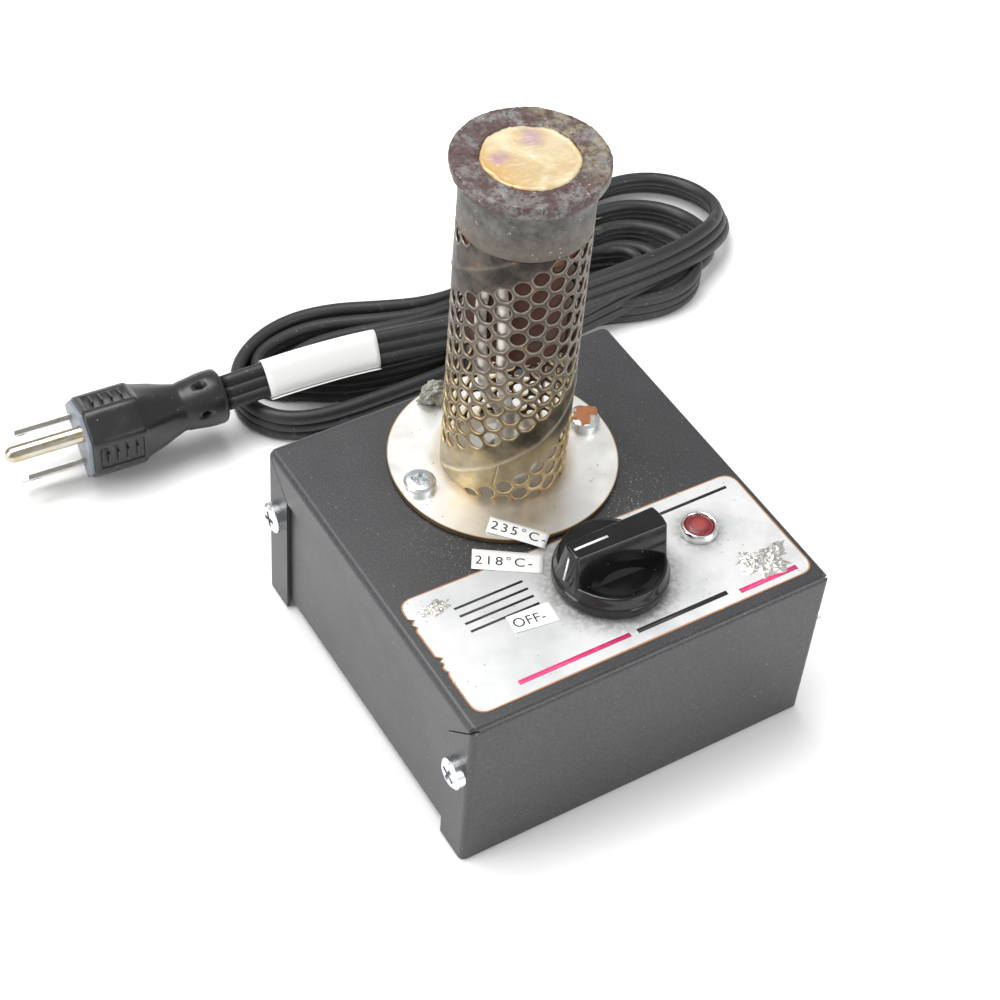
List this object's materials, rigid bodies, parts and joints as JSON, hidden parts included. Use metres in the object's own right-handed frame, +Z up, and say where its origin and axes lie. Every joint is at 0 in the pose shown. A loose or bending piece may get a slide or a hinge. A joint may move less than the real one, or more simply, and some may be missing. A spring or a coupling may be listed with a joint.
{
  "type": "mini solder pot",
  "caption": "Bench mini solder pot: folded black case, spiral perforated heat tower with a cast pot on top, bar-knob heat switch, red pilot lamp, flat power cord gathered behind with its plug.",
  "frame": {"origin": "on the surface the pot stands on, under the middle of the case", "axes": "+X to the right along the front edge of the case, +Y to the rear where the cord leaves, +Z up"},
  "size_m": [0.244, 0.1993, 0.1478],
  "materials": {
    "black_powder_coat": "satin black powder coat, dusty",
    "black_rubber": "matte black moulded rubber or PVC",
    "zinc_steel": "bright zinc plate",
    "bright_aluminium": "bright, with a tan tint by the tower",
    "heat_gasket": "compressed fibre",
    "heated_steel": "heat-tinted, golden below and grey-purple above",
    "rusty_cast_iron": "pitted, reddish-brown scale",
    "frozen_solder": "dull frozen metal with a yellow edge",
    "ceramic_bushing": "unglazed steatite",
    "glass_sleeve": "woven glass sleeve",
    "nickel_lead": "nickel plate",
    "switch_moulding": "dark phenolic",
    "tinned_brass": "tinned",
    "black_knob": "glossy phenolic",
    "lamp_chrome": "polished",
    "red_lens": "dark red, faceted",
    "lamp_plastic": "moulded",
    "lamp_glass": "clear",
    "label_film": "silver-white film with a thin orange-brown edge line",
    "white_paper": "uncoated",
    "plug_moulding": "black moulded PVC",
    "plug_insert": "pale grey",
    "pin_brass": "bare brass with traces of nickel",
    "cap_plastic": "natural nylon",
    "green_wire": "PVC insulation",
    "black_wire": "PVC insulation",
    "white_wire": "PVC insulation"
  },
  "bodies": {
    "pot": {"enclosure_cover": "black_powder_coat", "base_chassis": "black_powder_coat", "rubber_feet": "black_rubber", "strain_relief": "black_rubber", "cord_stub": "black_rubber", "cord_lead": "black_rubber", "cord_tail": "black_rubber", "cord_hank": "black_rubber", "case_screws": "zinc_steel", "flange_screws": "zinc_steel", "flange_nuts": "zinc_steel", "switch_washer": "zinc_steel", "switch_nut": "zinc_steel", "pilot_clip": "zinc_steel", "ground_screw": "zinc_steel", "ground_nut": "zinc_steel", "heater_terminals": "zinc_steel", "tower_flange": "bright_aluminium", "flange_gasket": "heat_gasket", "perforated_tube": "heated_steel", "heater_band": "heated_steel", "crucible": "rusty_cast_iron", "solder_charge": "frozen_solder", "tower_bushing": "ceramic_bushing", "lead_sleeves": "glass_sleeve", "heater_leads": "nickel_lead", "plug_blades": "nickel_lead", "switch_body": "switch_moulding", "switch_terminals": "tinned_brass", "ground_lug": "tinned_brass", "pilot_bezel": "lamp_chrome", "pilot_lens": "red_lens", "pilot_housing": "lamp_plastic", "pilot_lamp": "lamp_glass", "label_plate": "label_film", "setting_tabs": "white_paper", "cord_wrap_label": "white_paper", "plug_body": "plug_moulding", "plug_face": "plug_insert", "plug_ground_pin": "pin_brass", "wire_connectors": "cap_plastic", "earth_wire": "green_wire", "live_wire": "black_wire", "heater_wire": "black_wire", "rectifier_diode": "black_wire", "neutral_wire": "white_wire", "pilot_leads": "white_wire"},
    "knob": {"control_knob": "black_knob", "switch_shaft": "nickel_lead"}
  },
  "joints": [
    {"name": "knob_turn", "type": "hinge", "parent": "pot", "child": "knob", "pos_m": [0.0024, -0.0257, 0.06], "axis": [0, 0, -1], "range_deg": [0, 60]}
  ]
}
